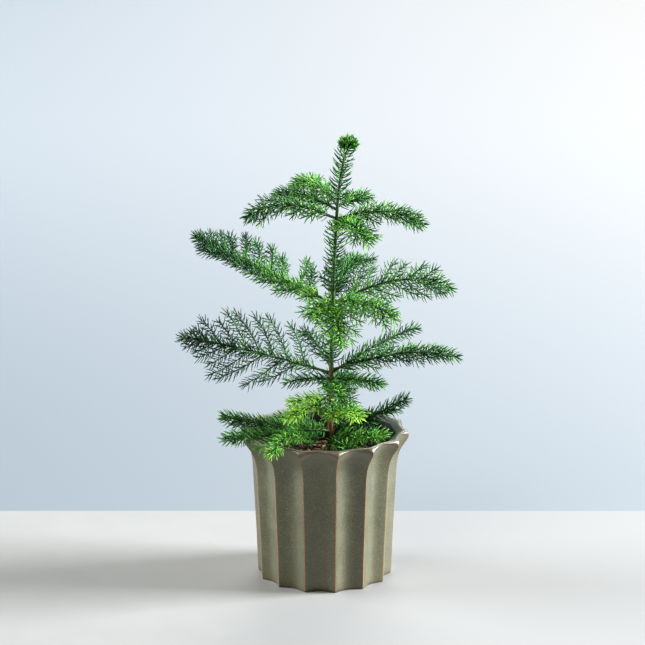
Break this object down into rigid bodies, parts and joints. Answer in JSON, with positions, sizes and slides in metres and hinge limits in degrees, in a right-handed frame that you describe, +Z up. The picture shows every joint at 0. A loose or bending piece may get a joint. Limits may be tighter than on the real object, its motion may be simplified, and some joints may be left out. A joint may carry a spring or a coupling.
{
  "type": "potted norfolk island pine",
  "caption": "Young potted pine with a leaning trunk, whorls of flat needle sprays and a fluted, flared pot filled with bark.",
  "frame": {"origin": "middle of the pot's flat underside", "axes": "+Z up along the trunk, -Y to the front, +X to the right seen from the front"},
  "size_m": [0.2871, 0.1879, 0.4464],
  "materials": {
    "glaze": "speckled olive grey satin glaze that breaks to rust brown on the ridges",
    "bark_mulch": "damp chips of brown bark",
    "bark": "thin ringed brown bark, green towards the tip",
    "green_bark": "young green bark",
    "needles": "soft satin green needles, yellow-green on the lower front sprays"
  },
  "bodies": {
    "root": {"bough_low_2": "green_bark", "bough_low_3": "green_bark", "bough_low_4": "green_bark", "bough_low_7": "green_bark", "bough_lower_5": "green_bark", "bough_middle_1": "green_bark", "bough_middle_2": "green_bark", "bough_middle_6": "green_bark", "bough_middle_7": "green_bark", "bough_top_1": "green_bark", "bough_top_2": "green_bark", "bough_top_3": "green_bark", "bough_top_4": "green_bark", "bough_top_5": "green_bark", "bough_upper_1": "green_bark", "bough_upper_3": "green_bark", "bough_upper_4": "green_bark", "bough_upper_5": "green_bark", "bough_upper_6": "green_bark", "leader_tuft": "needles", "needles_on_leader": "needles", "needles_on_trunk_low": "needles", "needles_on_trunk_middle": "needles", "pot": "glaze", "soil": "bark_mulch", "spray_low_1": "needles", "spray_low_2": "needles", "spray_low_3": "needles", "spray_low_4": "needles", "spray_low_5": "needles", "spray_low_6": "needles", "spray_low_7": "needles", "spray_low_8": "needles", "spray_lower_1": "needles", "spray_lower_2": "needles", "spray_lower_3": "needles", "spray_lower_4": "needles", "spray_lower_5": "needles", "spray_middle_1": "needles", "spray_middle_2": "needles", "spray_middle_3": "needles", "spray_middle_4": "needles", "spray_middle_5": "needles", "spray_middle_6": "needles", "spray_middle_7": "needles", "spray_top_1": "needles", "spray_top_2": "needles", "spray_top_3": "needles", "spray_top_4": "needles", "spray_top_5": "needles", "spray_top_6": "needles", "spray_upper_1": "needles", "spray_upper_2": "needles", "spray_upper_3": "needles", "spray_upper_4": "needles", "spray_upper_5": "needles", "spray_upper_6": "needles", "trunk": "bark"}
  },
  "joints": []
}
